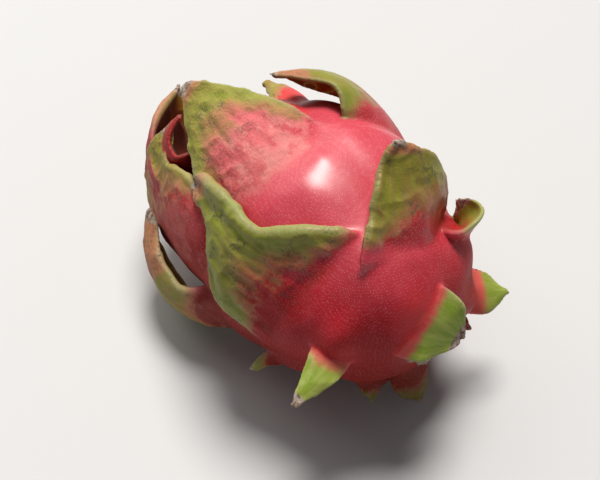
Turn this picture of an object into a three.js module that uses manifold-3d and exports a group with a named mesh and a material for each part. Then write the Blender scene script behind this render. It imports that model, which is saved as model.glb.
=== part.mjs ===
// A dragon fruit (pitahaya), lying on its side as picked: a barrel of leathery skin with fleshy scales that
// grow out of it in loose spirals. Skin and scales are one grown thing, so they are joined in one solid.
//
// Frame, in millimetres: +Z up, the stem end at +X, the flower end with its long scales at -X, and the origin
// at the middle of the small flat spot that the fruit rests on.
//
// "station" is a place along the fruit, in degrees: 0 at the stem end, 90 at the middle, 180 at the flower end.
// "around" is a place round it, in degrees: 0 on top, 90 at -Y, 180 underneath.

import * as THREE from "three";
import { mergeVertices } from "three/addons/utils/BufferGeometryUtils.js";
import Module from "manifold-3d";

// ---- Driving dimensions

const HALF_LENGTH = 60; // of the barrel, without its scales
const HALF_WIDTH = 43.5;
const AXIS_HEIGHT = 42; // lower than HALF_WIDTH, which leaves the flat spot
const FULLNESS = 0.82; // of the stem half: below 1, the end is blunter than an ellipse's
const CROWN_TAPER = 1.35; // of the flower half: above 1, it narrows sooner than an ellipse
const CROWN_FULLNESS = 0.04; // how much wider the flower half is than the stem half
const BARREL_SEGMENTS = [44, 28]; // round the barrel, and along it

const ROOT_LENGTH = 12; // how far a scale runs back under the skin
const ROOT_DIVE = 60; // how much steeper the root is at its end than at the skin, in degrees
const TIP_HALF_WIDTH = 0.8;
const SWELL_BEFORE = 8; // reach of the swelling that carries a scale, on its tip side
const SWELL_BREADTH = 0.75; // of that swelling, as a share of the scale's own
const FLARE_ONSET = 1 / 3; // share of the length from which the margins bend outwards in full
const WAVE_ONSET = 1 / 2; // and from which they wave in full
const FAR_WAVE_SHIFT = 1.3; // keeps the waves of the two margins out of step
const SUBSTEPS = 6; // steps of the midrib's curve in each row of facets

const STEM_SCAR = { radius: 5, height: 4, sides: 12 };
const FLOWER_SCAR = { radius: 5, height: 3, sides: 12 };
const SCAR_ROOT = 6; // how far a scar reaches into the fruit
const SCAR_TAPER = 0.8;

// What every scale has unless its own entry says otherwise. Lengths are in mm and angles in degrees.
const USUAL = {
  lift: 12, // angle from the skin where it leaves
  curl: -30, // how far it turns along its length, outwards if positive
  tipCurl: 0, // a further turn, near the tip only
  lean: 0, // direction along the skin, from the flower end towards larger "around"
  sway: 0, // how far that direction turns along the length
  roll: 0, // how far it turns about its own midrib by the tip
  wrap: 45, // half the arc of its cross-section at the root, closed towards the fruit
  tipWrap: 20, // and at the tip
  round: 1.8, // outline: above 2 it stays broad and turns blunt late
  taper: 1, // outline: above 1 it runs out into a narrow tip
  shoulder: 1, // share of the length at which its broad part ends
  tongue: 0, // half the width of the narrow part beyond the shoulder
  ripple: 0.8, // depth of the waves in its margins
  waves: 2.2, // number of waves along its length
  flare: 0, // how far the margins bend outwards
  thick: 5, // at the root, on the midrib
  margin: 1.3, // thickness of the margins
  sink: 2, // depth of the root's outer face below the skin
  rise: 2.2, // height of the swelling that carries it
  behind: 17, // reach of that swelling, on its stem side
  rows: 8, // facets along it
  columns: 8, // facets across it
};

const SMALL = { rows: 4, columns: 4 };

// The scales, from the stem end to the flower end. A side that differs has its own far... values: the far side
// is the one towards smaller "around".
const SCALES = [
  // short ones spread round the stem end
  { station: 23, around: 3, length: 23, half: 13, farHalf: 17, lift: 15, curl: -32, lean: -144, sway: -6,
    wrap: 35, tipWrap: -32, round: 3.5, farRound: 2.2, thick: 4, sink: -2, rise: 1.5, ...SMALL },
  { station: 21, around: -176, length: 21, half: 9, lift: 41, curl: 10, lean: -1, wrap: 30, round: 3.2,
    rise: 0, ...SMALL },
  { station: 30, around: -125, length: 14, half: 8, lift: 50, curl: 10, wrap: 30, rise: 0.5, ...SMALL },
  { station: 27, around: 145, length: 11, half: 14, lift: 52, curl: 10, lean: 8, wrap: 30, round: 0.9,
    rise: 0, ...SMALL },
  { station: 37, around: -97, length: 22, half: 10, farHalf: 9, lift: 68, curl: -8, lean: -17, sway: -14,
    roll: -49, wrap: 30, round: 3.6, rise: 5, behind: 12, ...SMALL },
  { station: 40, around: 66, length: 29, half: 9, farHalf: 8, lift: 71, curl: -29, lean: 85, sway: -24,
    roll: 26, wrap: 34, round: 2, rise: 4, behind: 12, ...SMALL },
  { station: 49, around: -66, length: 23, half: 16, lift: 84, curl: -126, sway: 28, roll: 58, wrap: 10,
    tipWrap: 21, round: 4, rise: 5, behind: 14, columns: 5 },
  { station: 59, around: 110, length: 18, half: 5, lift: 37, curl: 10, lean: 13, wrap: 30, round: 2.8,
    ...SMALL },
  // broad ones that clasp the barrel
  { station: 52, around: 61, length: 75, half: 26, farHalf: 35, lift: 16, curl: -74, lean: -10, sway: 16,
    wrap: 25, farWrap: 50, round: 6, farRound: 2.3, taper: 1.8, farTaper: 1.9, shoulder: 0.77,
    farShoulder: 0.63, tongue: 3, farTongue: 12, farFlare: 5, rise: 3, rows: 10 },
  { station: 47, around: -6, length: 39, half: 16, farHalf: 28, lift: 13, curl: -25, tipCurl: 50, lean: -22,
    sway: 2, roll: -1, wrap: -2, farWrap: 91, tipWrap: 16, farTipWrap: 30, round: 0.8, farRound: 6,
    taper: 0.5, farTaper: 0.8, shoulder: 0.96, flare: 1, sink: -3, rise: 3, behind: 26, columns: 10 },
  { station: 78, around: -98, length: 56, half: 22, lift: 16, curl: -40, wrap: 50 },
  { station: 62, around: -140, length: 46, half: 20, lift: 8, curl: -36, wrap: 50 },
  { station: 87, around: 20, length: 70, half: 25, farHalf: 28, lift: 9, curl: -32, lean: 7, sway: -7,
    roll: -20, wrap: 48, tipWrap: 18, round: 3, farRound: 2 },
  { station: 89, around: -43, length: 64, half: 20, farHalf: 23, lift: 37, curl: -93, tipCurl: 22, lean: -27,
    sway: 113, roll: 21, wrap: 78, farWrap: 38, tipWrap: -13, farTipWrap: 83, round: 3, farRound: 4.2,
    rise: 4, rows: 11 },
  { station: 88, around: 103, length: 78, half: 28, farHalf: 26, lift: 18, curl: -75, tipCurl: -1,
    lean: -18, sway: -13, roll: 39, wrap: 65, tipWrap: -4, round: 3.8, farRound: 4, farTaper: 0.5,
    farShoulder: 0.78, farTongue: 3, rows: 11 },
  { station: 87, around: 120, length: 75, half: 14, farHalf: 20, lift: 64, curl: -135, tipCurl: 8, lean: 14,
    sway: -59, roll: 3, wrap: 51, tipWrap: 59, round: 3, taper: 0.5, rows: 11 },
  { station: 104, around: -146, length: 54, half: 21, curl: -46, wrap: 50 },
  // long ones that close over the flower end
  { station: 110, around: -24, length: 42, half: 22, farHalf: 20, lift: 17, curl: -46, lean: 24, wrap: 64,
    tipWrap: 40, round: 1.9 },
  { station: 112, around: 168, length: 50, half: 20, curl: -56, wrap: 50, tipWrap: 40 },
  { station: 112, around: -112, length: 46, half: 20, lift: 24, curl: -70, wrap: 50, tipWrap: 50 },
  { station: 125, around: -39, length: 30, half: 15, farHalf: 12, lift: 40, curl: -50, lean: 10, sway: -20,
    roll: -16, wrap: 50, tipWrap: 52 },
  { station: 128, around: 14, length: 34, half: 17, lift: 18, curl: -44, wrap: 50, tipWrap: 40 },
  { station: 125, around: 112, length: 73, half: 22, farHalf: 23, lift: 74, curl: -162, tipCurl: 69,
    lean: -13, sway: 8, roll: -20, wrap: 44, tipWrap: 64, round: 4.2, farRound: 3.3, rows: 11 },
  { station: 138, around: -150, length: 44, half: 15, lift: 44, curl: -70, wrap: 50, tipWrap: 40 },
  { station: 137, around: 80, length: 39, half: 24, farHalf: 18, lift: 105, curl: -154, lean: -17, sway: -70,
    wrap: 50, tipWrap: 40, round: 2.6 },
].map((own) => ({ ...USUAL, ...own }));

// ---- The barrel

const degrees = THREE.MathUtils.degToRad;
const LOWEST_STATION = Math.PI / 2 + CROWN_FULLNESS / CROWN_TAPER;
const MIDDLE_X = -HALF_LENGTH * Math.cos(LOWEST_STATION); // puts the flat spot's middle at the origin

function barrelPoint(station, around) {
  const power = station > Math.PI / 2 ? CROWN_TAPER : FULLNESS;
  const radius =
    HALF_WIDTH * Math.max(Math.sin(station), 0) ** power * (1 - CROWN_FULLNESS * Math.cos(station));
  return new THREE.Vector3(
    MIDDLE_X + HALF_LENGTH * Math.cos(station),
    -radius * Math.sin(around),
    AXIS_HEIGHT + radius * Math.cos(around),
  );
}

// The directions at a place on the barrel: along it to the flower end, round it, and out of it.
function directionsAt(station, around) {
  const step = 1e-3;
  const along = barrelPoint(station + step, around).sub(barrelPoint(station - step, around)).normalize();
  const across = barrelPoint(station, around + step).sub(barrelPoint(station, around - step)).normalize();
  return { along, across, out: new THREE.Vector3().crossVectors(along, across).normalize() };
}

// A scale's own value, or that of its far side where the far side has one.
function sided(scale, name, far) {
  const farName = "far" + name[0].toUpperCase() + name.slice(1);
  return far && farName in scale ? scale[farName] : scale[name];
}

// How high the skin swells at a point of the barrel, under the scales that grow there.
function swelling(point) {
  let height = 0;
  for (const scale of SCALES) {
    const offset = point.clone().sub(scale.foot);
    const forward = offset.dot(scale.heading);
    const breadth = (SWELL_BREADTH * (sided(scale, "half", false) + sided(scale, "half", true))) / 2;
    const sideways = offset.dot(scale.sideways) / breadth;
    const reach = forward < 0 ? scale.behind : SWELL_BEFORE;
    const inward = offset.dot(scale.out);
    if (inward < -HALF_WIDTH / 2) continue; // the other side of the fruit
    height += scale.rise * Math.exp(-((forward / reach) ** 2) - sideways ** 2);
  }
  return height;
}

function makeBarrel() {
  const geometry = new THREE.SphereGeometry(1, ...BARREL_SEGMENTS);
  const position = geometry.getAttribute("position");
  const direction = new THREE.Vector3();
  for (let i = 0; i < position.count; i++) {
    direction.fromBufferAttribute(position, i);
    const station = Math.acos(THREE.MathUtils.clamp(direction.y, -1, 1));
    const around = Math.atan2(-direction.z, direction.x);
    const point = barrelPoint(station, around);
    const pole = station < 1e-4 || station > Math.PI - 1e-4;
    const out = pole ? new THREE.Vector3(Math.sign(direction.y), 0, 0) : directionsAt(station, around).out;
    point.addScaledVector(out, swelling(point));
    position.setXYZ(i, point.x, point.y, point.z);
  }
  return geometry;
}

// ---- One scale

for (const scale of SCALES) {
  const station = degrees(scale.station);
  const around = degrees(scale.around);
  const { along, across, out } = directionsAt(station, around);
  const lean = degrees(scale.lean);
  scale.foot = barrelPoint(station, around);
  scale.along = along;
  scale.across = across;
  scale.out = out;
  scale.heading = along.clone().multiplyScalar(Math.cos(lean)).addScaledVector(across, Math.sin(lean));
  scale.sideways = across.clone().multiplyScalar(Math.cos(lean)).addScaledVector(along, -Math.sin(lean));
}

// The midrib's directions at a share t of the length, which is below 0 in the root: forward, sideways, and out
// of the blade's outer face.
function midribFrame(scale, t) {
  const dive = (ROOT_DIVE * Math.max(-t, 0) * scale.length) / ROOT_LENGTH;
  const share = Math.max(t, 0);
  const pitch = degrees(scale.lift + dive + scale.curl * share + scale.tipCurl * share ** 4);
  const yaw = degrees(scale.lean + scale.sway * share);
  const roll = degrees(scale.roll * share);
  const heading = scale.along.clone().multiplyScalar(Math.cos(yaw)).addScaledVector(scale.across, Math.sin(yaw));
  const level = scale.across.clone().multiplyScalar(Math.cos(yaw)).addScaledVector(scale.along, -Math.sin(yaw));
  const face = scale.out.clone().multiplyScalar(Math.cos(pitch)).addScaledVector(heading, -Math.sin(pitch));
  return {
    forward: heading.multiplyScalar(Math.cos(pitch)).addScaledVector(scale.out, Math.sin(pitch)),
    side: level.clone().multiplyScalar(Math.cos(roll)).addScaledVector(face, Math.sin(roll)),
    out: face.clone().multiplyScalar(Math.cos(roll)).addScaledVector(level, -Math.sin(roll)),
  };
}

// The midrib: rows of points from the end of the root, which is one row long, to the tip.
function midrib(scale) {
  const shares = [-ROOT_LENGTH / scale.length];
  for (let row = 0; row <= scale.rows; row++) shares.push(row / scale.rows);
  const point = new THREE.Vector3();
  const rows = shares.map((share, i) => {
    if (i > 0) {
      const step = (share - shares[i - 1]) / SUBSTEPS;
      for (let k = 0; k < SUBSTEPS; k++) {
        const { forward } = midribFrame(scale, shares[i - 1] + (k + 0.5) * step);
        point.addScaledVector(forward, step * scale.length);
      }
    }
    return { t: Math.max(share, 0), point: point.clone(), ...midribFrame(scale, share) };
  });
  const start = scale.foot.clone().addScaledVector(scale.out, -scale.sink).sub(rows[1].point);
  rows.forEach((row) => row.point.add(start));
  return rows;
}

// Half the width of a scale's near or far side at a share t of its length.
function halfWidth(scale, t, far) {
  const broad = Math.min(t / sided(scale, "shoulder", far), 1) ** sided(scale, "round", far);
  const base = sided(scale, "half", far) * (1 - broad) ** sided(scale, "taper", far);
  const tongue = sided(scale, "tongue", far) * Math.sqrt(1 - t ** 4);
  return Math.max((base ** 4 + tongue ** 4) ** 0.25, TIP_HALF_WIDTH);
}

// A point of the outer face, at a row of the midrib and a share v across it, from -1 to 1.
function outerPoint(scale, row, v) {
  const far = v < 0;
  const width = halfWidth(scale, row.t, far);
  const wrap = THREE.MathUtils.lerp(sided(scale, "wrap", far), sided(scale, "tipWrap", far), row.t);
  const arc = degrees(wrap) || 1e-3;
  const radius = width / arc;
  const shift = degrees(scale.around) + (far ? FAR_WAVE_SHIFT : 0);
  const waving = Math.min(1, row.t / WAVE_ONSET);
  const wave = scale.ripple * Math.sin(2 * Math.PI * scale.waves * row.t + shift) * waving;
  const flaring = (Math.min(1, row.t / FLARE_ONSET) * width) / sided(scale, "half", far);
  const bend = sided(scale, "flare", far) * flaring;
  const lifted = bend * Math.abs(v) ** 3 + wave * v ** 2;
  return row.point
    .clone()
    .addScaledVector(row.side, radius * Math.sin(v * arc))
    .addScaledVector(row.out, lifted - radius * (1 - Math.cos(v * arc)));
}

// A closed blade: a box's grid of vertices moved on to the outer face and, by the thickness, the inner face.
function makeBlade(scale) {
  const rows = midrib(scale);
  const lastRow = rows.length - 1;
  const outer = rows.map((row) =>
    Array.from({ length: scale.columns + 1 }, (_, j) => outerPoint(scale, row, (2 * j) / scale.columns - 1)),
  );
  const pointAt = (i, j) =>
    outer[THREE.MathUtils.clamp(i, 0, lastRow)][THREE.MathUtils.clamp(j, 0, scale.columns)];
  const geometry = new THREE.BoxGeometry(2, 2, 2, scale.columns, 1, lastRow);
  const position = geometry.getAttribute("position");
  for (let k = 0; k < position.count; k++) {
    const v = position.getX(k);
    const i = Math.round(((position.getZ(k) + 1) / 2) * lastRow);
    const j = Math.round(((v + 1) / 2) * scale.columns);
    const point = pointAt(i, j).clone();
    if (position.getY(k) < 0) {
      const lengthways = pointAt(i + 1, j).clone().sub(pointAt(i - 1, j));
      const crossways = pointAt(i, j + 1).clone().sub(pointAt(i, j - 1));
      const inward = crossways.cross(lengthways).normalize();
      const middle = (1 - rows[i].t) ** 1.2 * (1 - Math.abs(v) ** 2.5);
      point.addScaledVector(inward, THREE.MathUtils.lerp(scale.margin, scale.thick, middle));
    }
    position.setXYZ(k, point.x, point.y, point.z);
  }
  return geometry;
}

// A dry scar on one end of the fruit, along X.
function makeScar({ radius, height, sides }, end) {
  const geometry = new THREE.CylinderGeometry(radius * SCAR_TAPER, radius, height + SCAR_ROOT, sides);
  geometry.rotateZ((-end * Math.PI) / 2);
  geometry.translate(MIDDLE_X + end * (HALF_LENGTH + (height - SCAR_ROOT) / 2), 0, AXIS_HEIGHT);
  return geometry;
}

// ---- Joining

const wasm = await Module();
wasm.setup();

function toSolid(geometry) {
  const bare = geometry.clone();
  bare.deleteAttribute("normal");
  bare.deleteAttribute("uv");
  const merged = mergeVertices(bare, 1e-3);
  const indices = merged.index.array;
  const triVerts = [];
  for (let i = 0; i < indices.length; i += 3) {
    const [a, b, c] = [indices[i], indices[i + 1], indices[i + 2]];
    if (a !== b && b !== c && c !== a) triVerts.push(a, b, c);
  }
  return new wasm.Manifold(
    new wasm.Mesh({
      numProp: 3,
      vertProperties: new Float32Array(merged.getAttribute("position").array),
      triVerts: new Uint32Array(triVerts),
    }),
  );
}

function toGeometry(solid) {
  const mesh = solid.getMesh();
  return new THREE.BufferGeometry()
    .setAttribute("position", new THREE.BufferAttribute(mesh.vertProperties, 3))
    .setIndex(new THREE.BufferAttribute(mesh.triVerts, 1));
}

let fruit = toSolid(makeBarrel());
for (const scale of SCALES) fruit = fruit.add(toSolid(makeBlade(scale)));
fruit = fruit.add(toSolid(makeScar(STEM_SCAR, 1))).add(toSolid(makeScar(FLOWER_SCAR, -1)));
const ground = new THREE.BoxGeometry(400, 400, 40).translate(0, 0, -20);
fruit = fruit.subtract(toSolid(ground));

const skin = new THREE.MeshStandardMaterial({ color: 0xc23450, roughness: 0.42, metalness: 0 });
const mesh = new THREE.Mesh(toGeometry(fruit), skin);
mesh.name = "dragon_fruit";

const group = new THREE.Group();
group.add(mesh);

export default group;
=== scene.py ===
"""A dragon fruit lying on its side, with its skin and scales grown as one piece.

The fruit's own coordinates are "station", 0 at the stem end and pi at the flower end, and "around", 0 on
top and growing towards -Y. Shapes are worked out in millimetres and handed over in metres.
"""

import itertools
import math

import bpy
import numpy as np
from bpy.props import FloatProperty, FloatVectorProperty, IntProperty, PointerProperty
from mathutils import Matrix, Vector, kdtree


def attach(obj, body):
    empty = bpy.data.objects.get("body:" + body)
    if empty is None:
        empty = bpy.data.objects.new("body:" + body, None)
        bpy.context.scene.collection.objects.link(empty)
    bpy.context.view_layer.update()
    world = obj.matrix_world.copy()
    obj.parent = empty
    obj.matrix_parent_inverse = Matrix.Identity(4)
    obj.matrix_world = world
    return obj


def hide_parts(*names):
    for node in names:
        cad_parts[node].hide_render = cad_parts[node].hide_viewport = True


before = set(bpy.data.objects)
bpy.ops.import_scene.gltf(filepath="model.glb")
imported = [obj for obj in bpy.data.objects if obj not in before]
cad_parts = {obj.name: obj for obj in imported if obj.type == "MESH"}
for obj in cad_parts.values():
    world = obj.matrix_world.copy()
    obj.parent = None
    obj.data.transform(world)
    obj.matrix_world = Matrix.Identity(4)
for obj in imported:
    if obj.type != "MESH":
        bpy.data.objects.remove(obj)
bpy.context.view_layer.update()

bl_info = {
    "name": "Dragon Fruit",
    "version": (1, 0, 0),
    "blender": (4, 5, 0),
    "location": "3D View > Sidebar > Dragon Fruit",
    "description": "Grows a dragon fruit with its scales and sets it in a small studio",
    "category": "Add Mesh",
}

NODE = "dragon_fruit"
MM = 0.001

# ---- The fruit's form, in mm ------------------------------------------------------------------

HALF_LENGTH, HALF_WIDTH, AXIS_HEIGHT = 60.0, 43.5, 42.0
STEM_TAPER, CROWN_TAPER = 0.82, 1.35  # a lower power makes a blunter end
CROWN_FULLNESS = 0.04  # how much thicker the crown's half is
MIDDLE_X = -HALF_LENGTH * math.cos(math.pi / 2 + CROWN_FULLNESS / CROWN_TAPER)
POLE_GAP = 0.01  # how near the first and last rows of the barrel come to its poles

ROOT_LENGTH, ROOT_DIVE = 12.0, 60.0  # a scale's root under the skin, and how many degrees it dives
ROOT_HIDDEN = 0.8  # share of the root that no mask is read from
TIP_HALF_WIDTH = 0.8
FAR_PHASE = 1.3  # keeps the waves of a scale's two margins from matching
SWELL_AHEAD, SWELL_BREADTH = 8.0, 0.75  # the skin's swelling in front of a scale, and beside it
FLUSH_REACH = 8.5  # how far the young red spreads from the foot of a fresh scale

BARREL_GRID = (220, 320)
BLADE_SPACING = 0.9
STUB_GRID = (9, 36)
STUB_SUNK, STUB_TAPER = 6, 0.18

# A "far" value is for the side towards smaller "around", where it differs.
USUAL = dict(
    # the bend of a scale's middle line, in degrees: how steeply it leaves the skin, and how it turns
    lift=12, curl=-30, tipCurl=0, lean=0, sway=0, roll=0,
    # its cross-section: degrees that each side wraps down, and the waves of its margins
    wrap=45, tipWrap=20, ripple=0.8, waves=2.2, flare=0, thick=5, margin=1.3,
    # its outline: bluntness, taper, where the tip begins and how wide a tongue runs on from there
    round=1.8, taper=1, shoulder=1, tongue=0,
    # how deep its foot sits, and how high and how far behind the foot the skin swells
    sink=2, rise=2.2, behind=17,
    # where the skin turns green, along the scale, and how much sooner at the margins and on one side
    start=0.5, end=0.85, edge=0.2, side=0.0,
    # where the tip starts to dry, where it is dry, and how strongly the rest shows; painted_shade is how
    # much painted shade darkens a scale
    tan=1.0, dry=0.95, fresh=0.4, folds=0.5, bare=0.0, flush=0.0, bloom=0.0, painted_shade=0.0,
    # height of a rolled margin: above 0 on the far side, below 0 on the other
    lip=0.0,
)

SCALES = [
    # short scales round the stem end
    dict(station=23, around=3, length=23, half=13, lift=15, curl=-32, lean=-144, wrap=35,
         tipWrap=-32, round=3.5, thick=4, sink=-2, rise=1.5, farHalf=17, sway=-6, farRound=2.1,
         start=0.14, end=0.4, bare=0.9, flush=0.9, edge=0, fresh=1, dry=0.82, folds=0.2),
    dict(rise=0, station=21, around=-176, length=21, half=9, lift=41, curl=10, wrap=30, lean=-1,
         round=3.2, start=0.4, end=1, fresh=0, painted_shade=1),
    dict(rise=0.5, station=30, around=-125, length=14, half=8, lift=50, curl=10, wrap=30,
         start=0.8, end=1.3, painted_shade=0.9),
    dict(rise=0, station=27, around=145, length=11, half=14, lift=52, curl=10, wrap=30, lean=8,
         round=0.9, start=0.4, end=1, fresh=0, painted_shade=1),
    dict(rise=5, behind=12, station=37, around=-97, length=22, half=10, lift=68, curl=-8, wrap=30,
         round=3.6, farHalf=9, lean=-17, sway=-14, roll=-49, start=0.45, end=0.66, bare=0.95,
         flush=0.9, edge=0, fresh=0.9, dry=1.1, folds=0.1),
    dict(rise=4, behind=12, station=40, around=66, length=29, half=9, lift=71, curl=-29, lean=85,
         wrap=34, round=2, farHalf=8, sway=-24, roll=26, start=0.22, end=0.55, bare=0.95,
         flush=0.8, edge=0.1, fresh=0.9, dry=0.86, folds=0.3),
    dict(rise=5, behind=14, station=49, around=-66, length=23, half=16, lift=84, curl=-126,
         wrap=10, tipWrap=21, round=4, sway=28, roll=58, start=0.3, end=0.7, bare=0.5, flush=0.5,
         fresh=0.8, dry=0.85, folds=0.3),
    dict(station=59, around=110, length=18, half=5, lift=37, curl=10, wrap=30, lean=13, round=2.8,
         start=0.5, end=0.9, fresh=0.6, painted_shade=0.3),
    # broad scales that clasp the body
    dict(farFlare=5, rise=3, tongue=3, farTongue=12, shoulder=0.77, farShoulder=0.63, station=52,
         around=61, length=75, half=26, farHalf=35, lift=16, curl=-74, lean=-10, sway=16, wrap=25,
         round=6, farRound=2.3, farTaper=1.9, taper=1.8, farWrap=50, start=0.12, end=0.6,
         edge=0.5, side=-0.1, fresh=0.62, folds=1, lip=1, bare=0.2, painted_shade=0.3, tan=0.86),
    dict(sink=-3, rise=3, behind=26, station=47, around=-6, length=39, half=16, farHalf=28,
         lift=13, curl=-25, lean=-22, wrap=-2, flare=1, round=0.8, farRound=6, farTaper=0.8,
         tipCurl=50, taper=0.5, tipWrap=16, roll=-1, sway=2, farWrap=91, farTipWrap=30,
         shoulder=0.96, start=0.1, end=0.66, edge=0.1, side=0.32, fresh=0.2, folds=0.9, painted_shade=0.45,
         lip=-0.6, tan=0.9, dry=0.97),
    dict(station=78, around=-98, length=56, half=22, lift=16, curl=-40, wrap=50, folds=0.8),
    dict(station=62, around=-140, length=46, half=20, lift=8, curl=-36, wrap=50),
    dict(station=87, around=20, length=70, half=25, farHalf=28, lift=9, curl=-32, lean=7, wrap=48,
         tipWrap=18, round=3, farRound=2, sway=-7, roll=-20, start=0.36, end=0.9, edge=0.36,
         side=0.05, tan=0.9, fresh=0.45, folds=0.9, bloom=0.9),
    dict(rise=4, station=89, around=-43, length=64, half=20, farHalf=23, lift=37, curl=-93,
         sway=113, wrap=78, tipWrap=-13, farTipWrap=83, roll=21, round=3, farRound=4.2, lean=-27,
         tipCurl=22, farWrap=38, start=0.22, end=0.7, tan=0.82, dry=1, edge=0.2, side=0.1,
         fresh=0.5, folds=0.3, bloom=0.1, painted_shade=0.35),
    dict(farTongue=3, farShoulder=0.78, station=88, around=103, length=78, half=28, farHalf=26,
         lift=18, curl=-75, lean=-18, wrap=65, tipWrap=-4, round=3.8, farRound=4, farTaper=0.5,
         sway=-13, tipCurl=-1, roll=39, start=0.5, end=0.95, edge=0.14, fresh=0.3, folds=0.7,
         bloom=0.3),
    dict(station=87, around=120, length=75, half=14, lift=64, curl=-135, lean=14, sway=-59,
         wrap=51, tipWrap=59, round=3, taper=0.5, farHalf=20, tipCurl=8, roll=3, start=0.08,
         end=0.42, edge=0.1, side=0.1, fresh=0.15, folds=0.5, tan=0.62, bloom=0.3),
    dict(station=104, around=-146, length=54, half=21, lift=12, curl=-46, wrap=50),
    # long scales that close over the flower end
    dict(station=110, around=-24, length=42, half=22, lift=17, curl=-46, wrap=64, tipWrap=40,
         farHalf=20, lean=24, round=1.9, start=1.2, end=1.5, dry=1.2, bare=0.75, folds=0.1),
    dict(station=112, around=168, length=50, half=20, lift=12, curl=-56, wrap=50, tipWrap=40),
    dict(station=112, around=-112, length=46, half=20, lift=24, curl=-70, wrap=50, tipWrap=50),
    dict(station=125, around=-39, length=30, half=15, lift=40, curl=-50, lean=10, wrap=50,
         tipWrap=52, farHalf=12, sway=-20, roll=-16, dry=1.1, start=0.45, end=0.85, side=0.1,
         fresh=0, bare=0.8),
    dict(station=128, around=14, length=34, half=17, lift=18, curl=-44, wrap=50, tipWrap=40),
    dict(station=125, around=112, length=73, half=22, farHalf=23, lift=74, curl=-162, lean=-13,
         wrap=44, tipWrap=64, round=4.2, sway=8, tipCurl=69, farRound=3.3, roll=-20, start=0.75,
         end=1.1, fresh=0, tan=0.75, painted_shade=0.4, folds=0.6),
    dict(station=138, around=-150, length=44, half=15, lift=44, curl=-70, wrap=50, tipWrap=40),
    dict(station=137, around=80, length=39, half=24, farHalf=18, lift=105, curl=-154, lean=-17,
         sway=-70, wrap=50, tipWrap=40, round=2.6, start=1.2, end=1.5, dry=1.2, painted_shade=0.8),
]


# ---- Sums on points ---------------------------------------------------------------------------

HASH_PRIMES = (73856093, 19349663, 83492791)
HASH_SEED = 668265263
HASH_ROUNDS = ((15, 2246822519), (13, 3266489917))


def unit(vectors):
    return vectors / np.maximum(np.linalg.norm(vectors, axis=-1, keepdims=True), 1e-9)


def smooth_step(low, high, values):
    share = np.clip((values - low) / (high - low), 0, 1)
    return share * share * (3 - 2 * share)


def bell(values, middle, breadth):
    return np.exp(-(((values - middle) / breadth) ** 2))


def lattice_noise(points, seed):
    """Smooth noise from -1 to 1, the same for the same seed."""
    cell = np.floor(points).astype(np.int64)
    part = points - cell
    ease = part * part * (3 - 2 * part)
    total = np.zeros(points.shape[:-1])
    for corner in itertools.product((0, 1), repeat=3):
        at = cell + np.array(corner)
        mixed = seed * HASH_SEED
        for axis, prime in enumerate(HASH_PRIMES):
            mixed = mixed ^ (at[..., axis] * prime)
        for shift, factor in HASH_ROUNDS:
            mixed = (mixed ^ (mixed >> shift)) * factor & 0xFFFFFFFF
        value = ((mixed ^ (mixed >> 16)) & 0xFFFF) / 32767.5 - 1
        total += value * np.prod(np.where(corner, ease, 1 - ease), axis=-1)
    return total


def fractal(points, seed, octaves=2):
    """Octaves of noise, each twice as fine and half as strong."""
    total = sum(lattice_noise(points * 2**k, seed + k) * 0.5**k for k in range(octaves))
    return total / (2 - 0.5 ** (octaves - 1))


# ---- The barrel and its scales ----------------------------------------------------------------


def barrel_point(station, around):
    power = np.where(station > math.pi / 2, CROWN_TAPER, STEM_TAPER)
    narrowed = np.maximum(np.sin(station), 0) ** power
    radius = HALF_WIDTH * narrowed * (1 - CROWN_FULLNESS * np.cos(station))
    x = MIDDLE_X + HALF_LENGTH * np.cos(station)
    y = -radius * np.sin(around)
    z = AXIS_HEIGHT + radius * np.cos(around)
    return np.stack(np.broadcast_arrays(x, y, z), -1)


def directions_at(station, around):
    """Unit vectors on the barrel: towards the flower end, round it, and out of it."""
    step = 1e-3
    along = unit(barrel_point(station + step, around) - barrel_point(station - step, around))
    across = unit(barrel_point(station, around + step) - barrel_point(station, around - step))
    return along, across, np.cross(along, across)


def plant(own):
    """A scale with its usual values filled in, and its place and directions on the barrel."""
    scale = {**USUAL, **own}
    scale.setdefault("farHalf", scale["half"])
    station, around, lean = (math.radians(scale[key]) for key in ("station", "around", "lean"))
    along, across, out = directions_at(station, around)
    scale.update(along=along, across=across, out=out, foot=barrel_point(station, around))
    scale["heading"] = along * math.cos(lean) + across * math.sin(lean)
    scale["sideways"] = across * math.cos(lean) - along * math.sin(lean)
    return scale


def swelling(points, scales):
    """How high the skin swells round the feet of the scales."""
    height = np.zeros(points.shape[:-1])
    for scale in scales:
        offset = points - scale["foot"]
        forward = offset @ scale["heading"]
        breadth = SWELL_BREADTH * (scale["half"] + scale["farHalf"]) / 2
        beside = offset @ scale["sideways"] / breadth
        reach = np.where(forward < 0, scale["behind"], SWELL_AHEAD)
        bump = scale["rise"] * np.exp(-((forward / reach) ** 2) - beside**2)
        through = offset @ scale["out"] < -HALF_WIDTH / 2
        height += np.where(through, 0, bump)
    return height


def barrel_grid(scales):
    """The swollen skin as a grid of points, with its normals, stations and arounds."""
    rows, columns = BARREL_GRID
    station, around = np.meshgrid(
        np.linspace(POLE_GAP, math.pi - POLE_GAP, rows),
        np.linspace(-math.pi, math.pi, columns, endpoint=False),
        indexing="ij",
    )
    points = barrel_point(station, around)
    out = directions_at(station, around)[2]
    return points + out * swelling(points, scales)[..., None], out, station, around


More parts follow.
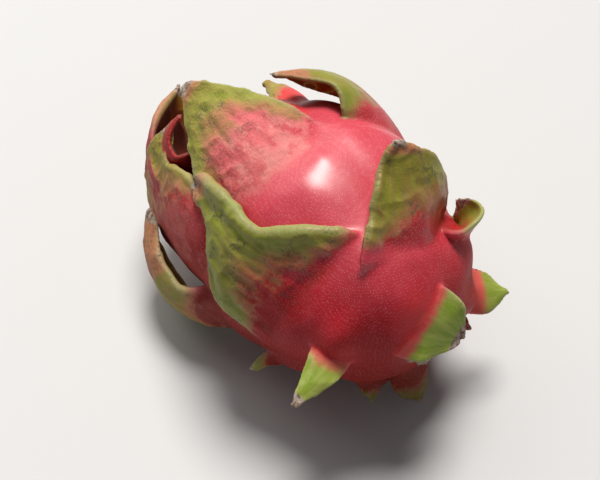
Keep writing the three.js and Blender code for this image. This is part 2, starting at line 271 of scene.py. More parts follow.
def blade_frame(scale, share):
    """Which way a scale heads at a share of its length, with its sideways and outward directions."""
    dive = ROOT_DIVE * np.maximum(-share * scale["length"] / ROOT_LENGTH, 0)
    share = np.maximum(share, 0)
    pitch = scale["lift"] + dive + scale["curl"] * share + scale["tipCurl"] * share**4
    pitch = np.radians(pitch)[:, None]
    yaw = np.radians(scale["lean"] + scale["sway"] * share)[:, None]
    heading = scale["along"] * np.cos(yaw) + scale["across"] * np.sin(yaw)
    side = scale["across"] * np.cos(yaw) - scale["along"] * np.sin(yaw)
    forward = heading * np.cos(pitch) + scale["out"] * np.sin(pitch)
    return forward, side, scale["out"] * np.cos(pitch) - heading * np.sin(pitch)


def blade_grid(scale):
    """The two faces of a scale as grids of points, the outer face's normals, and where each point is:
    its share of the length from the root, and its place across from -1 to 1."""
    length = scale["length"]
    breadth = scale["half"] + scale["farHalf"]
    rows = max(12, round((length + ROOT_LENGTH) / BLADE_SPACING))
    columns = max(12, round(1.2 * breadth / BLADE_SPACING))
    substeps = 4

    # the middle line, added up in steps from the root
    fine = np.linspace(-ROOT_LENGTH / length, 1, rows * substeps + 1)
    middles = (fine[1:] + fine[:-1]) / 2
    steps = blade_frame(scale, middles)[0] * (fine[1] - fine[0]) * length
    path = np.vstack([np.zeros(3), np.cumsum(steps, 0)])
    start = np.array([np.interp(0, fine, path[:, k]) for k in range(3)])
    path = path[::substeps] - start + scale["foot"] - scale["sink"] * scale["out"]
    _, side, out = blade_frame(scale, fine[::substeps])
    share = np.maximum(fine[::substeps], 0)
    roll = np.radians(scale["roll"] * share)[:, None]
    side, out = side * np.cos(roll) + out * np.sin(roll), out * np.cos(roll) - side * np.sin(roll)

    along = share[:, None]
    across = np.linspace(-1, 1, columns + 1)[None, :]
    far = across < 0

    def sided(key):
        return np.where(far, scale.get("far" + key[0].upper() + key[1:], scale[key]), scale[key])

    # the outline
    half = sided("half")
    base = half * (1 - np.minimum(along / sided("shoulder"), 1) ** sided("round")) ** sided("taper")
    tongue = sided("tongue") * np.sqrt(np.maximum(1 - along**4, 0))
    width = np.maximum((base**4 + tongue**4) ** 0.25, TIP_HALF_WIDTH)

    # the cross-section: an arc with lifted and waved margins
    wrap = np.radians(sided("wrap") + (sided("tipWrap") - sided("wrap")) * along)
    wrap = np.where(np.abs(wrap) < 1e-3, 1e-3, wrap)
    radius = width / wrap
    phase = 2 * np.pi * scale["waves"] * along + np.where(far, FAR_PHASE, 0)
    wave = np.sin(phase + math.radians(scale["around"]))
    lifted = sided("flare") * np.abs(across) ** 3 * (width / half) * np.minimum(1, 3 * along)
    lifted = lifted + scale["ripple"] * wave * across**2 * np.minimum(1, 2 * along)
    sideways = radius * np.sin(across * wrap)
    upward = lifted - radius * (1 - np.cos(across * wrap))
    outer = path[:, None] + side[:, None] * sideways[..., None] + out[:, None] * upward[..., None]
    normal = unit(np.cross(np.gradient(outer, axis=0), np.gradient(outer, axis=1)))

    middle = (1 - along) ** 1.2 * (1 - np.abs(across) ** 2.5)
    depth = scale["margin"] + (scale["thick"] - scale["margin"]) * middle
    inner = outer - normal * depth[..., None]
    return outer, inner, normal, along + 0 * across, across + 0 * along


# ---- Joining and smoothing the mesh -----------------------------------------------------------


def grid_quads(rows, columns, first, wrapped=False):
    cells = columns if wrapped else columns - 1
    row, column = np.meshgrid(np.arange(rows - 1), np.arange(cells), indexing="ij")
    after = (column + 1) % columns
    here, above = row * columns, (row + 1) * columns
    corners = (here + column, here + after, above + after, above + column)
    return first + np.stack([corner.ravel() for corner in corners], -1)


def closed_barrel(points):
    """Points and faces of a grid that closes round and has a cap of triangles at each end."""
    rows, columns = points.shape[:2]
    count = rows * columns
    rim = np.arange(columns)
    after = (rim + 1) % columns
    first_pole, last_pole = np.full(columns, count), np.full(columns, count + 1)
    last_row = count - columns
    faces = [
        grid_quads(rows, columns, 0, wrapped=True),
        np.stack([after, rim, first_pole, first_pole], -1),
        np.stack([rim + last_row, after + last_row, last_pole, last_pole], -1),
    ]
    poles = np.array([points[0].mean(0), points[-1].mean(0)])
    return np.vstack([points.reshape(-1, 3), poles]), faces


def closed_blade(outer, inner):
    """Points and faces of a scale: its two faces and the wall round their rim."""
    rows, columns = outer.shape[:2]
    count = rows * columns
    faces = [grid_quads(rows, columns, 0), grid_quads(rows, columns, count)[:, ::-1]]
    index = np.arange(count).reshape(rows, columns)
    for rim in (index[0, ::-1], index[-1], index[:, 0], index[::-1, -1]):
        faces.append(np.stack([rim[:-1], rim[1:], rim[1:] + count, rim[:-1] + count], -1)[:, ::-1])
    return np.vstack([outer.reshape(-1, 3), inner.reshape(-1, 3)]), faces


def scar_stub(sign, radius, height, seed):
    """A short woody stub where the stem (sign 1) or the flower (sign -1) sat."""
    rows, columns = STUB_GRID
    share, turn = np.meshgrid(
        np.linspace(0, 1, rows), np.linspace(0, 2 * math.pi, columns, endpoint=False), indexing="ij"
    )

    def lumps(round_it, up_it, own_seed):
        place = (np.cos(turn) * round_it, np.sin(turn) * round_it, share * up_it)
        return lattice_noise(np.stack(place, -1), own_seed)

    profile = radius * (1 - STUB_TAPER * share) * (1 + 0.1 * lumps(3, 2, seed))
    x = MIDDLE_X + sign * (HALF_LENGTH - STUB_SUNK + (STUB_SUNK + height) * share)
    x = x + sign * share * 0.8 * lumps(5, 1, seed + 1)
    points = np.stack([x, profile * np.cos(turn), AXIS_HEIGHT + profile * np.sin(turn)], -1)
    return closed_barrel(points if sign > 0 else points[:, ::-1])


def mesh_from(name, vertices, faces):
    """A mesh of faces that have one width. A quad whose last corner comes twice is a triangle."""
    used = np.ones(faces.shape, bool)
    used[:, -1] = faces[:, -1] != faces[:, -2]
    lengths = used.sum(1)
    mesh = bpy.data.meshes.new(name)
    mesh.vertices.add(len(vertices))
    mesh.vertices.foreach_set("co", vertices.astype(np.float32).ravel())
    mesh.loops.add(int(lengths.sum()))
    mesh.loops.foreach_set("vertex_index", faces[used].astype(np.int32))
    mesh.polygons.add(len(faces))
    mesh.polygons.foreach_set("loop_start", (np.cumsum(lengths) - lengths).astype(np.int32))
    mesh.update(calc_edges=True)
    return mesh


def joined_mesh(name, shells):
    firsts = np.cumsum([0] + [len(points) for points, _ in shells])
    faces = [face + first for (_, own), first in zip(shells, firsts) for face in own]
    return mesh_from(name, np.vstack([points for points, _ in shells]), np.vstack(faces))


def with_modifier(mesh, kind, **settings):
    """The mesh that a modifier makes of this one."""
    worked = bpy.data.objects.new("work", mesh)
    bpy.context.scene.collection.objects.link(worked)
    modifier = worked.modifiers.new(kind, kind)
    for key, value in settings.items():
        setattr(modifier, key, value)
    graph = bpy.context.evaluated_depsgraph_get()
    made = bpy.data.meshes.new_from_object(worked.evaluated_get(graph))
    bpy.data.objects.remove(worked)
    return made


def read(collection, key, width, kind=np.float32):
    values = np.empty(len(collection) * width, kind)
    collection.foreach_get(key, values)
    return values.reshape(-1, width)


class Net:
    """A mesh's points with what smoothing them needs."""

    SHRINK, REGROW = 0.5, 0.52
    FILL = 0.8

    def __init__(self, mesh):
        self.points = read(mesh.vertices, "co", 3).astype(np.float64)
        self.edges = read(mesh.edges, "vertices", 2, np.int32)
        mesh.calc_loop_triangles()
        self.triangles = read(mesh.loop_triangles, "vertices", 3, np.int32)
        self.valence = np.bincount(self.edges.ravel(), minlength=len(self.points))[:, None]

    def pull(self, values):
        """How far each point's values are from the mean of its neighbours'."""
        total = np.zeros_like(values)
        one, other = self.edges.T
        for k in range(values.shape[1]):
            towards = np.bincount(one, values[other, k], len(values))
            total[:, k] = towards + np.bincount(other, values[one, k], len(values))
        return total / self.valence - values

    def normals(self):
        a, b, c = (self.points[self.triangles[:, k]] for k in range(3))
        face = np.cross(b - a, c - a)
        total = np.zeros_like(self.points)
        for k, axis in itertools.product(range(3), range(3)):
            total[:, axis] += np.bincount(self.triangles[:, k], face[:, axis], len(self.points))
        return unit(total)

    def smooth(self, rounds):
        for _ in range(rounds):
            self.points = self.points + self.SHRINK * self.pull(self.points)
            self.points = self.points - self.REGROW * self.pull(self.points)

    def fill_creases(self, rounds, weight):
        for _ in range(rounds):
            pull = self.pull(self.points)
            normals = self.normals()
            rise = np.einsum("ij,ij->i", pull, normals)
            self.points = self.points + normals * (self.FILL * weight * np.maximum(rise, 0))[:, None]

    def spread(self, values, rounds):
        """One value a point, blurred over the net."""
        values = values[:, None]
        for _ in range(rounds):
            values = values + self.SHRINK * self.pull(values)
        return values[:, 0]


# ---- What grows where -------------------------------------------------------------------------

MASKS = (
    "green", "fresh", "tan", "dry", "inner", "folds", "lip", "bare", "bloom", "painted_shade", "woody", "rim",
)
SAMPLED = (slice(None, None, 2),) * 2  # every other row and column of the barrel
SCALES_APART = 50.0  # keeps the folds of two scales from matching
FACING_LEAST, NEAR_LEAST = 0.02, 0.15  # soften the choice of the nearest samples


def blade_masks(scale, along, across, inner):
    edge = np.abs(across)
    present = smooth_step(0.0, 0.18, along)
    spread = along + scale["edge"] * edge**3 * smooth_step(0.0, 0.35, along) + scale["side"] * across
    margin = smooth_step(0.9, 1.0, edge) * smooth_step(0.05, 0.2, along)
    beside = -across if scale["lip"] < 0 else across
    rolled = bell(beside, -0.85, 0.22) - bell(beside, -0.42, 0.3)
    return dict(
        green=smooth_step(scale["start"], scale["end"], spread) * present,
        fresh=scale["fresh"],
        tan=smooth_step(scale["tan"] - 0.08, scale["tan"] + 0.06, along),
        dry=smooth_step(scale["dry"] - 0.06, scale["dry"] + 0.03, along),
        inner=inner,
        folds=scale["folds"] * smooth_step(scale["start"] - 0.3, scale["end"] - 0.2, spread) * present,
        lip=abs(scale["lip"]) * rolled * smooth_step(-0.1, 0.15, along),
        bare=scale["bare"] * smooth_step(-0.2, 0.1, along),
        bloom=scale["bloom"] * smooth_step(-0.15, 0.15, along),
        # painted shade: how much this scale is darkened
        painted_shade=scale["painted_shade"] * present,
        rim=np.maximum(margin, smooth_step(0.97, 1.0, along)),
    )


def samples_of(scales):
    """Points all over the fruit with their normals, lengthwise and crosswise places, and masks."""
    points, normals, flow = [], [], []
    masks = {key: [] for key in MASKS}

    def add(at, normal, place, own):
        points.append(at.reshape(-1, 3))
        normals.append(normal.reshape(-1, 3))
        flow.append(place.reshape(-1, 3))
        for key in MASKS:
            masks[key].append(np.broadcast_to(own.get(key, 0.0), at.shape[:-1]).ravel())

    at, out, station, around = barrel_grid(scales)
    girth = around * HALF_WIDTH * np.sin(station)
    place = np.stack([station * HALF_LENGTH, girth, 0 * station], -1)
    stem, flower = smooth_step(0.12, 0.07, station), smooth_step(math.pi - 0.16, math.pi - 0.1, station)
    flush = np.zeros(station.shape)
    for scale in scales:
        apart = np.linalg.norm(at - scale["foot"], axis=-1)
        flush = np.maximum(flush, scale["flush"] * bell(apart, 0, FLUSH_REACH))
    own = {"woody": np.maximum(stem, flower)[SAMPLED], "fresh": 0.5, "bare": flush[SAMPLED]}
    add(at[SAMPLED], out[SAMPLED], place[SAMPLED], own)

    for number, scale in enumerate(scales, 1):
        outer, inner, normal, along, across = blade_grid(scale)
        half = np.where(across < 0, scale["farHalf"], scale["half"])
        across_mm = across * half
        place = np.stack([along * scale["length"], across_mm, SCALES_APART * number + 0 * along], -1)
        root = len(along) * ROOT_LENGTH / (ROOT_LENGTH + scale["length"])
        seen = slice(round(root * ROOT_HIDDEN), None)
        for face, facing, inside in ((outer, normal, 0), (inner, -normal, 1)):
            own = blade_masks(scale, along[seen], across[seen], inside)
            add(face[seen], facing[seen], place[seen], own)
    masks = {key: np.concatenate(values) for key, values in masks.items()}
    return np.vstack(points), np.vstack(normals), np.vstack(flow), masks


def nearest_samples(net, samples, sample_normals, count):
    """For every point, the samples beside it and their weights, most for those that face its way."""
    tree = kdtree.KDTree(len(samples))
    for index, sample in enumerate(samples):
        tree.insert(sample, index)
    tree.balance()
    found = np.empty((len(net.points), count), np.int64)
    apart = np.empty((len(net.points), count))
    for index, point in enumerate(net.points):
        near = tree.find_n(point, count)
        found[index] = [hit[1] for hit in near]
        apart[index] = [hit[2] for hit in near]
    facing = np.einsum("ij,ikj->ik", net.normals(), sample_normals[found])
    weight = (FACING_LEAST + np.maximum(facing, 0) ** 2) / (apart**2 + NEAR_LEAST)
    return found, weight / weight.sum(1, keepdims=True)


def crumples(points, folds):
    """Creases in green skin, and the broad swells of the whole fruit."""
    crumple = 1 - np.abs(fractal(points * 0.13, seed=7)) * 3
    return 1.3 * np.maximum(crumple, -0.4) * folds + 2.2 * fractal(points * 0.045, seed=11)


def drawn_folds(flow, folds):
    """Folds drawn out along each scale, and its long swells."""
    ridges = 1 - np.abs(fractal(flow * np.array([0.08, 0.28, 1.0]), seed=3)) * 2
    return 1.4 * ridges * folds + 1.2 * fractal(flow * np.array([0.025, 0.10, 1.0]), seed=17)


# ---- Shader maths -----------------------------------------------------------------------------


class Wire:
    """A node's output that can be used in sums."""

    def __init__(self, maker, socket):
        self.maker = maker
        self.socket = socket

    def _math(self, operation, one, other):
        return self.maker.node("ShaderNodeMath", dict(operation=operation), {0: one, 1: other})

    def __add__(self, other):
        return self._math("ADD", self, other)

    def __sub__(self, other):
        return self._math("SUBTRACT", self, other)

    def __rsub__(self, other):
        return self._math("SUBTRACT", other, self)

    def __mul__(self, other):
        return self._math("MULTIPLY", self, other)

    __radd__ = __add__
    __rmul__ = __mul__

    def most(self, other):
        return self._math("MAXIMUM", self, other)

    def clamped(self):
        return self.maker.node("ShaderNodeClamp", {}, {"Value": self})

    def step(self, low, high):
        """0 below low, 1 above high, and smooth between."""
        inputs = {"Value": self, "From Min": low, "From Max": high, "To Min": 0.0, "To Max": 1.0}
        return self.maker.node("ShaderNodeMapRange", dict(interpolation_type="SMOOTHSTEP"), inputs)


class Maker:
    """Adds nodes to one material."""

    def __init__(self, name):
        self.material = bpy.data.materials.new(name)
        self.material.use_nodes = True
        self.tree = self.material.node_tree
        self.tree.nodes.clear()

    def node(self, kind, settings, inputs, output=0):
        """A node with its settings and its sockets' values or links. Gives one of its outputs."""
        made = self.tree.nodes.new(kind)
        for key, value in settings.items():
            setattr(made, key, value)
        for key, value in inputs.items():
            if isinstance(value, Wire):
                self.tree.links.new(value.socket, made.inputs[key])
            else:
                made.inputs[key].default_value = value
        return None if output is None else Wire(self, made.outputs[output])

    def mask(self, name):
        return self.node("ShaderNodeAttribute", dict(attribute_name=name), {}, "Fac")

    def blend(self, share, low, high):
        """Two colours mixed by a share."""
        settings = dict(data_type="RGBA", clamp_factor=True)
        return self.node("ShaderNodeMix", settings, {0: share, 6: low, 7: high}, 2)

    def finished(self, sockets):
        """The material, with these values or links on the sockets of its shader."""
        shader = self.node("ShaderNodeBsdfPrincipled", {}, sockets, "BSDF")
        self.node("ShaderNodeOutputMaterial", {}, {"Surface": shader}, None)
        return self.material


def opaque(colour):
    return (*colour, 1.0)


def skin_material(skin):
    maker = Maker("dragon_fruit_skin")
    node, blend = maker.node, maker.blend
    place = node("ShaderNodeTexCoord", {}, {}, "Object")
    flow = node("ShaderNodeAttribute", dict(attribute_name="flow"), {}, "Vector")
    green, fresh, tan, dry, inner, folds, lip, bare, bloom, painted_shade, woody, rim = map(maker.mask, MASKS)

    def noise(scale, detail=3.0, rough=0.5, where=place, output=0):
        inputs = {"Vector": where, "Scale": scale, "Detail": detail, "Roughness": rough}
        return node("ShaderNodeTexNoise", {}, inputs, output)

    def vectors(operation, one, other):
        return node("ShaderNodeVectorMath", dict(operation=operation), {0: one, 1: other})

    # noise with lumps of about 20, 9, 1.4 and 0.4 mm, and streaks along each scale
    clouds = noise(45.0, 3.0)
    patches = noise(110.0, 4.0, 0.6)
    fine = noise(700.0, 3.0, 0.6)
    grain = noise(2400.0, 2.0, 0.6)
    streaks = noise(1.0, 4.0, 0.6, vectors("MULTIPLY", flow, (0.07, 0.35, 1.0)))
    mildew = noise(900.0, 4.0, 0.7).step(0.5, 0.6)
    height = node("ShaderNodeSeparateXYZ", {}, {"Vector": place}, "Z")
    sunny, low = height.step(0.058, 0.088), 1.0 - height.step(0.01, 0.085)

    # red skin: painted light makes it pink on top, painted shade makes it darker low down, and it is
    # coral where it is young
    red = blend(clouds.step(0.35, 0.65), opaque(skin.deep_red), opaque(skin.red))
    # painted light: pink on the fruit's top, less on shaded scales, with patches of paler tone
    red = blend((sunny * (0.75 - painted_shade) + (patches - 0.5) * 0.8).clamped(), red, opaque(skin.pink))
    # painted shade: maroon low on the fruit
    red = blend(low * 0.95, red, opaque(skin.shade_maroon))
    pale = clouds.step(0.38, 0.56) * 0.45 + patches.step(0.44, 0.56) * 0.55
    red = blend((bloom * pale).clamped() * 0.85, red, opaque(skin.bloom))
    creased = folds * (1.0 - fine.step(0.4, 0.55)) * patches.step(0.45, 0.6)
    red = blend(creased * 0.4, red, opaque(skin.deep_red))
    red = blend(bare.step(0.0, 0.8) * 0.8, red, opaque(skin.coral))
    red = blend(bare.step(0.72, 1.0) * (0.3 + patches * 0.6), red, opaque(skin.pale_coral))
    # painted shade: maroon on shaded scales and in the valley under a rolled margin
    red = blend((painted_shade + (0.0 - lip) * 0.5).clamped() * 0.75, red, opaque(skin.shade_maroon))

    # pale pores, in rows that are bent a little
    bent = noise(50.0, 1.0, output="Color")
    bent = node("ShaderNodeVectorMath", dict(operation="SCALE"), {0: bent, "Scale": 0.008})
    pitch = {"Vector": vectors("ADD", place, bent), "Scale": 1.0 / skin.pore_pitch, "Randomness": 0.5}
    cells = node("ShaderNodeTexVoronoi", {}, pitch)
    pores = 1.0 - cells.step(0.12, 0.42)
    pores = pores * (1.0 - bare * 0.9) * (0.5 + patches * 0.5).clamped()
    # the pores show paler on top, as painted light
    red = blend(pores * (1.0 - green) * (0.26 + sunny * 0.16), red, opaque(skin.pores))

    # green skin: olive or fresh, with a mottled border to the red
    mottled = (patches - 0.5) * 1.5 + (fine - 0.5) * 0.6 + (streaks - 0.5) * 0.5
    turned = (green + mottled * green.step(0.0, 0.2) * (1.0 - green * 0.7)).clamped()
    olive = blend(streaks.step(0.35, 0.65), opaque(skin.olive), opaque(skin.brown_olive))
    grass = blend(streaks.step(0.3, 0.7), opaque(skin.grass), opaque(skin.pale_green))
    leaf = blend((fresh + (clouds - 0.5) * 1.2).clamped(), olive, grass)
    browned = (1.0 - patches.step(0.3, 0.52)) * (1.0 - fresh)
    leaf = blend(browned * 0.45, leaf, opaque(skin.brown))
    leaf = blend(fine.step(0.5, 0.7) * 0.15, leaf, opaque(skin.pale_green))
    # painted shade darkens the green of shaded scales
    leaf = blend(painted_shade * 0.8, leaf, opaque(skin.shade_olive))
    border = blend(fresh.step(0.5, 0.9), opaque(skin.brown), opaque(skin.orange))
    # painted shade darkens the border of shaded scales
    border = blend(painted_shade * 1.4, border, opaque(skin.shade_edge))
    outside = blend(turned.step(0.05, 0.4), red, border)
    outside = blend(turned.step(0.3, 0.85), outside, leaf)

    # flecks, drying tips and mildew
    flecked = bloom * 0.5 + turned.step(0.02, 0.3) * turned.step(1.0, 0.5) * 0.6
    flecked = (flecked * grain.step(0.5, 0.66)).clamped()
    outside = blend(flecked * 0.35, outside, opaque(skin.bloom))
    tanned = (tan + (patches - 0.5) * tan * 2.0).step(0.2, 0.9)
    outside = blend(tanned * 0.75, outside, opaque(skin.tan))
    mildew = mildew * (noise(130.0, 2.0).step(0.52, 0.62) * folds).most(tan * green * 0.7)
    outside = blend((mildew * 0.75).clamped(), outside, opaque(skin.mildew))

    # the side of a scale that faces the fruit, and the margins
    within = blend(green.step(0.2, 0.9), opaque(skin.inner_red), opaque(skin.inner_olive))
    within = blend(green * fresh.step(0.5, 0.9), within, leaf)
    within = blend(bare * (1.0 - green), within, opaque(skin.coral))
    colour = blend(inner, outside, within)
    rim_colour = blend(green, opaque(skin.rim_pink), opaque(skin.rim_pale))
    # painted shade dims the pale margins of shaded scales
    colour = blend(rim * (0.5 - painted_shade * 0.5), colour, rim_colour)

    # dried tips and the woody scars
    husk = blend(fine.step(0.35, 0.65), opaque(skin.husk), opaque(skin.pale_husk))
    colour = blend((dry + (patches - 0.5) * dry).step(0.3, 0.8), colour, husk)
    colour = blend(woody.step(0.3, 0.7), colour, husk)

    matt = (bloom * 0.22).most((dry + woody) * 0.3) - green * fresh * 0.04
    dull = (bloom + tan + dry + inner).clamped()
    gloss = sunny * (1.0 - bare * 0.7) * (1.0 - (green + bloom * 1.5 + tan + dry + inner).clamped())
    wrinkles = noise(230.0, 4.0, 0.65) * (folds * 2.5 + bloom * 4.0)
    relief = pores * 0.25 + fine * 0.5 * (0.3 + green) + wrinkles
    bump = {"Strength": 0.6, "Distance": 0.0003, "Height": relief}
    return maker.finished(
        {
            "Base Color": colour,
            "Roughness": 0.45 + (fine - 0.5) * 0.15 + matt + (1.0 - sunny) * 0.05,
            "Normal": node("ShaderNodeBump", {}, bump, "Normal"),
            "IOR": 1.4,
            "Specular IOR Level": 0.18,
            "Subsurface Weight": skin.glow,
            "Subsurface Radius": (1.0, 0.25, 0.15),
            "Subsurface Scale": 0.0015,
            "Coat Weight": skin.wax * (gloss + green * (1.0 - dull) * 0.12).clamped(),
            "Coat Roughness": 0.31,
        }
    )


# ---- Settings ---------------------------------------------------------------------------------


def colour_property(name, description, default):
    return FloatVectorProperty(
        name=name, description=description, default=default, subtype="COLOR", size=3, min=0, max=1
    )


def length_property(name, description, default):
    return FloatProperty(name=name, description=description, default=default, unit="LENGTH")


def angle_property(name, description, degrees):
    return FloatProperty(
        name=name, description=description, default=math.radians(degrees), subtype="ANGLE"
    )


class FruitBody(bpy.types.PropertyGroup):
    voxel: length_property("Voxel", "Cell size of the joined mesh", 0.5 * MM)
    fold_depth: length_property("Fold Depth", "Depth of the folds in green skin", 0.5 * MM)
    triangles: IntProperty(
        name="Triangles", description="Most triangles in the finished mesh", default=185000
    )
    fillet: IntProperty(
        name="Fillet", description="Rounds of filling where a scale leaves the skin", default=30
    )


class FruitSkin(bpy.types.PropertyGroup):
    red: colour_property("Red", "Ripe skin", (0.52, 0.016, 0.034))
    # painted shade: dark red low on the fruit, on shaded scales and in the valley under a rolled margin
    deep_red: colour_property("Deep Red", "Ripe skin where its colour is deepest", (0.38, 0.008, 0.014))
    # used both for paler patches of the skin and as painted light on the fruit's top
    pink: colour_property("Pink", "Ripe skin where it is pale", (0.66, 0.072, 0.11))
    shade_maroon: colour_property("Maroon", "Dark skin low on the fruit", (0.20, 0.012, 0.003))
    bloom: colour_property("Bloom", "Waxy bloom", (0.76, 0.30, 0.27))
    pores: colour_property("Pores", "The pale dots in the skin", (0.88, 0.40, 0.41))
    coral: colour_property("Coral", "Young smooth skin", (0.62, 0.045, 0.05))
    pale_coral: colour_property("Pale Coral", "The foot of a fresh scale", (0.74, 0.18, 0.14))
    orange: colour_property("Orange", "Where red turns to fresh green", (0.50, 0.17, 0.08))
    brown: colour_property("Brown", "Where red turns to old green", (0.42, 0.18, 0.09))
    # painted shade: the dark border between red and green on shaded scales
    shade_edge: colour_property("Dark Edge", "Where red turns to aged green", (0.22, 0.065, 0.02))
    olive: colour_property("Olive", "Dull green of the scales", (0.29, 0.27, 0.03))
    brown_olive: colour_property("Brown Olive", "Browner streaks", (0.27, 0.17, 0.05))
    # painted shade: the darker green of shaded scales
    shade_olive: colour_property("Dark Olive", "Green skin that has aged", (0.15, 0.125, 0.02))
    grass: colour_property("Grass", "Fresh green of the scales", (0.19, 0.30, 0.025))
    pale_green: colour_property("Pale Green", "Bloom on green skin", (0.34, 0.38, 0.09))
    # dark red of a scale's inside, made darker to stand in for the shade under the scale, so partly
    # painted shade
    inner_red: colour_property("Inner Red", "Inside of a scale, near its root", (0.14, 0.028, 0.008))
    inner_olive: colour_property("Inner Olive", "Inside of a scale, near its tip", (0.28, 0.18, 0.01))
    rim_pink: colour_property("Pink Rim", "Margins of red skin", (0.62, 0.16, 0.2))
    rim_pale: colour_property("Pale Rim", "Margins of green skin", (0.45, 0.42, 0.25))
    tan: colour_property("Tan", "Skin that is starting to dry", (0.50, 0.17, 0.11))
    husk: colour_property("Husk", "Dried tips", (0.16, 0.09, 0.06))
    pale_husk: colour_property("Pale Husk", "Dried tips, bleached", (0.45, 0.38, 0.32))
    mildew: colour_property("Mildew", "Dark specks in old green skin", (0.08, 0.085, 0.06))
    pore_pitch: length_property("Pore Pitch", "Spacing of the pores", 0.75 * MM)
    wax: FloatProperty(
        name="Wax", description="Strength of the waxy gloss", default=1.0, subtype="FACTOR"
    )
    glow: FloatProperty(
        name="Glow", description="Light that passes under the skin", default=0.06, subtype="FACTOR"
    )


class Studio(bpy.types.PropertyGroup):
    floor_size: length_property("Floor", "Side of the floor", 4.0)
    floor_colour: colour_property("Floor Colour", "Plain floor", (0.60, 0.605, 0.62))
    lamp_colour: colour_property("Lamp Colour", "Colour of both lamps", (1.0, 0.97, 0.91))
    lamp_distance: length_property("Lamp Distance", "How far the lamps hang", 0.9)
    key_power: FloatProperty(name="Key", description="Strength of the main light", default=3.95)
    key_angle: angle_property("Key Angle", "How wide the main light looks", 24)
    side_power: FloatProperty(
        name="Side", description="Power of the side lamp", default=3.2, unit="POWER"
    )
    side_size: length_property("Side Size", "Side of the side lamp", 0.9)
    fill: FloatProperty(name="Fill", description="Brightness of the surroundings", default=0.13)
    lens: FloatProperty(
        name="Lens", description="Focal length on a 36 mm sensor", default=89.1, unit="CAMERA"
    )
    distance: length_property("Distance", "Camera to fruit", 0.55)
    azimuth: angle_property("Azimuth", "Camera's side", 55.5)
    elevation: angle_property("Elevation", "Camera's height", 55)


# ---- Operators --------------------------------------------------------------------------------

STEM, FLOWER = 1, -1
JOIN_SMOOTHING, FILLET_SMOOTHING, FOLD_SMOOTHING = 4, 3, 1  # rounds after each step
INSIDE_SPREAD, FOLD_SPREAD = 8, 14  # rounds of blurring
LIP_RISE = 2.6
KEY_DIRECTION, SIDE_DIRECTION = (-0.35, 0.31, 0.88), (-0.8, 0.0, 0.6)
AIM_LEFT, AIM_DOWN = 8.5, 1.5  # from the barrel's middle to the point that the camera looks at


class GrowFruit(bpy.types.Operator):
    """Grows the fruit with its scales and gives it its skin"""

    bl_idname = "dragon_fruit.grow"
    bl_label = "Grow Fruit"

    def execute(self, context):
        body = context.scene.dragon_fruit_body
        scales = [plant(own) for own in SCALES]
        samples, sample_normals, flow, masks = samples_of(scales)

        def mask(key):
            return (weight * masks[key][found]).sum(1)

        # one skin over the barrel, the scales and the scars
        shells = [closed_barrel(barrel_grid(scales)[0])]
        shells += [closed_blade(*blade_grid(scale)[:2]) for scale in scales]
        shells += [
            scar_stub(STEM, radius=5.0, height=4.0, seed=5),
            scar_stub(FLOWER, radius=5.0, height=3.0, seed=9),
        ]
        cell = body.voxel / MM
        joined = joined_mesh("joined", shells)
        fused = with_modifier(joined, "REMESH", mode="VOXEL", voxel_size=cell, adaptivity=0.0)
        net = Net(fused)
        net.smooth(JOIN_SMOOTHING)

        # filled creases, except inside the scales, then folds and rolled margins
        found, weight = nearest_samples(net, samples, sample_normals, 4)
        spared = net.spread(mask("inner"), INSIDE_SPREAD)
        net.fill_creases(body.fillet, 1 - smooth_step(0.02, 0.3, spared))
        net.smooth(FILLET_SMOOTHING)
        folds = mask("folds")
        drawn = drawn_folds(flow[found[:, 0]], folds) + LIP_RISE * mask("lip")
        rise = crumples(net.points, folds) + net.spread(drawn, FOLD_SPREAD)
        net.points = net.points + net.normals() * (body.fold_depth / MM * rise)[:, None]
        net.smooth(FOLD_SMOOTHING)
        fused.vertices.foreach_set("co", net.points.astype(np.float32).ravel())
        fused.update()

        # fewer triangles, and the masks for the skin
        share = min(1.0, body.triangles / len(net.triangles))
        light = with_modifier(fused, "DECIMATE", ratio=share, use_collapse_triangulate=True)
        net = Net(light)
        net.points[:, 2] = np.maximum(net.points[:, 2], 0)
        found, weight = nearest_samples(net, samples, sample_normals, 6)
        mesh = mesh_from("fruit_skin", net.points * MM, net.triangles)
        for key in MASKS:
            values = mask(key).astype(np.float32)
            mesh.attributes.new(key, "FLOAT", "POINT").data.foreach_set("value", values)
        drawn = flow[found[:, 0]].astype(np.float32).ravel()
        mesh.attributes.new("flow", "FLOAT_VECTOR", "POINT").data.foreach_set("vector", drawn)
        mesh.polygons.foreach_set("use_smooth", np.ones(len(mesh.polygons), bool))
        mesh.materials.append(skin_material(context.scene.dragon_fruit_skin))

        fruit = bpy.data.objects.new("fruit_skin", mesh)
        context.scene.collection.objects.link(fruit)
        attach(fruit, "root")
        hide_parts(NODE)
        return {"FINISHED"}


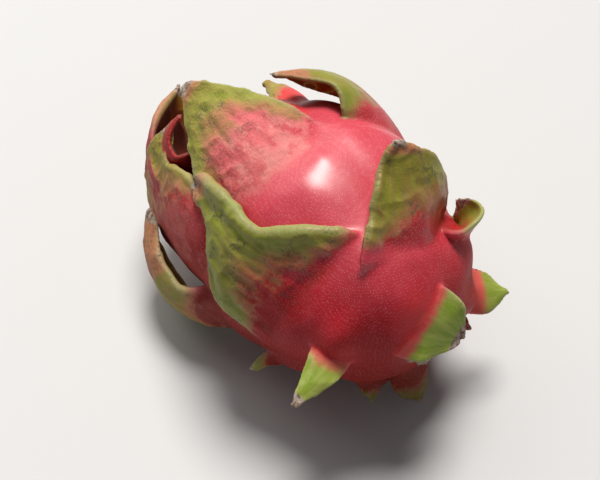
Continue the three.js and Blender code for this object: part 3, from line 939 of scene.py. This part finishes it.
class SetStage(bpy.types.Operator):
    """Lays the floor, hangs the lamps and places the camera"""

    bl_idname = "dragon_fruit.stage"
    bl_label = "Set Stage"

    def execute(self, context):
        scene, studio = context.scene, context.scene.dragon_fruit_studio
        half = studio.floor_size / 2
        corners = np.array([(-half, -half, 0), (half, -half, 0), (half, half, 0), (-half, half, 0)])
        floor = bpy.data.objects.new("floor", mesh_from("floor", corners, np.array([[0, 1, 2, 3]])))
        paint = Maker("floor").finished({"Base Color": opaque(studio.floor_colour), "Roughness": 0.8})
        floor.data.materials.append(paint)
        scene.collection.objects.link(floor)

        key, side = bpy.data.lights.new("key", "SUN"), bpy.data.lights.new("side", "AREA")
        key.energy, key.angle = studio.key_power, studio.key_angle
        side.energy, side.size = studio.side_power, studio.side_size
        for lamp, direction in ((key, KEY_DIRECTION), (side, SIDE_DIRECTION)):
            lamp.color = studio.lamp_colour
            towards = Vector(direction).normalized()
            hung = bpy.data.objects.new(lamp.name, lamp)
            hung.location = Vector((0, 0, AXIS_HEIGHT * MM)) + towards * studio.lamp_distance
            hung.rotation_euler = towards.to_track_quat("Z", "Y").to_euler()
            scene.collection.objects.link(hung)

        world = bpy.data.worlds.new("surroundings")
        world.use_nodes = True
        surroundings = world.node_tree.nodes["Background"].inputs
        surroundings["Color"].default_value = (1.0, 1.0, 1.0, 1.0)
        surroundings["Strength"].default_value = studio.fill
        scene.world = world
        scene.view_settings.view_transform = "Standard"

        level, rise = math.cos(studio.elevation), math.sin(studio.elevation)
        back = Vector((level * math.sin(studio.azimuth), -level * math.cos(studio.azimuth), rise))
        right = Vector((0, 0, 1)).cross(back).normalized()
        up = back.cross(right)
        middle = Vector((MIDDLE_X, 0, AXIS_HEIGHT)) * MM
        target = middle - right * AIM_LEFT * MM - up * AIM_DOWN * MM
        camera = bpy.data.objects.new("camera", bpy.data.cameras.new("camera"))
        camera.data.lens = studio.lens
        turned = Matrix((right, up, back)).transposed().to_4x4()
        camera.matrix_world = Matrix.Translation(target + back * studio.distance) @ turned
        scene.collection.objects.link(camera)
        scene.camera = camera
        return {"FINISHED"}


class FruitPanel(bpy.types.Panel):
    """Lists the fruit's operators and settings"""

    bl_idname = "VIEW3D_PT_dragon_fruit"
    bl_label = "Dragon Fruit"
    bl_space_type = "VIEW_3D"
    bl_region_type = "UI"
    bl_category = "Dragon Fruit"

    def draw(self, context):
        for operator, groups in (
            ("dragon_fruit.stage", ("dragon_fruit_studio",)),
            ("dragon_fruit.grow", ("dragon_fruit_body", "dragon_fruit_skin")),
        ):
            self.layout.operator(operator)
            for group in groups:
                for key in GROUPS[group].__annotations__:
                    self.layout.prop(getattr(context.scene, group), key)


CLASSES = (FruitBody, FruitSkin, Studio, GrowFruit, SetStage, FruitPanel)
GROUPS = {
    "dragon_fruit_body": FruitBody,
    "dragon_fruit_skin": FruitSkin,
    "dragon_fruit_studio": Studio,
}


def register():
    for kind in CLASSES:
        bpy.utils.register_class(kind)
    for key, kind in GROUPS.items():
        setattr(bpy.types.Scene, key, PointerProperty(type=kind))


def unregister():
    for key in GROUPS:
        delattr(bpy.types.Scene, key)
    for kind in reversed(CLASSES):
        bpy.utils.unregister_class(kind)


def main():
    register()
    bpy.ops.dragon_fruit.stage()
    bpy.ops.dragon_fruit.grow()


if __name__ == "__main__":
    main()
